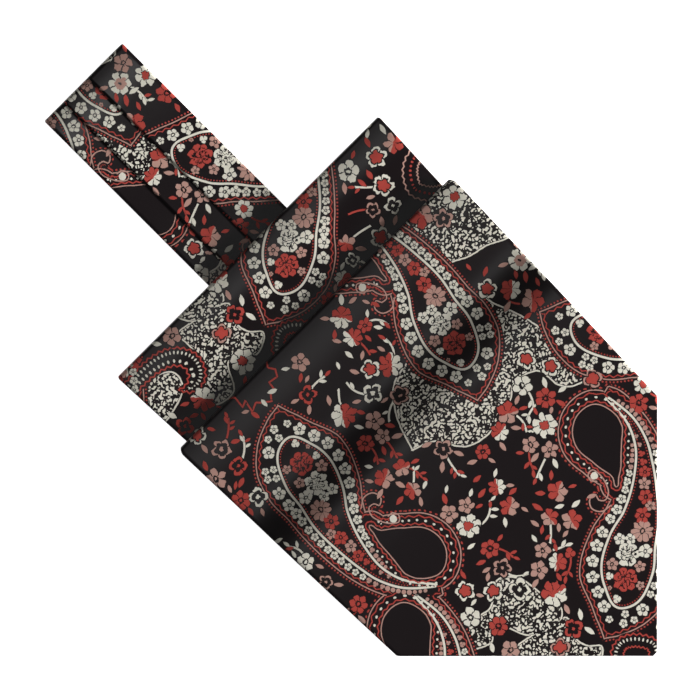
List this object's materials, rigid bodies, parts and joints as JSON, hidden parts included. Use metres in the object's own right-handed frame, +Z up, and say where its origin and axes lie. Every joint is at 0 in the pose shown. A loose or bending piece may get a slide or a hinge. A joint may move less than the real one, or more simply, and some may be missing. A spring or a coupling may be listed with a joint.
{
  "type": "ascot scarf",
  "caption": "Ascot scarf folded flat: a pleated neckband loop under two wide pointed blades with soft turned folds.",
  "frame": {"origin": "centre of the bounding box's underside, on the surface that the folded scarf lies on", "axes": "+Z up out of the flat stack, +Y along its length towards the end of the neckband loop, X across the blades"},
  "size_m": [0.1554, 0.3253, 0.0186],
  "materials": {
    "neckband_cloth": "printed satin-faced cloth",
    "rear_blade_cloth": "printed satin-faced cloth",
    "front_blade_cloth": "printed satin-faced cloth",
    "hidden_cloth": "folded cloth edges"
  },
  "bodies": {
    "root": {"neckband": "neckband_cloth", "rear_blade": "rear_blade_cloth", "front_blade": "front_blade_cloth", "hidden_layers": "hidden_cloth"}
  },
  "joints": []
}
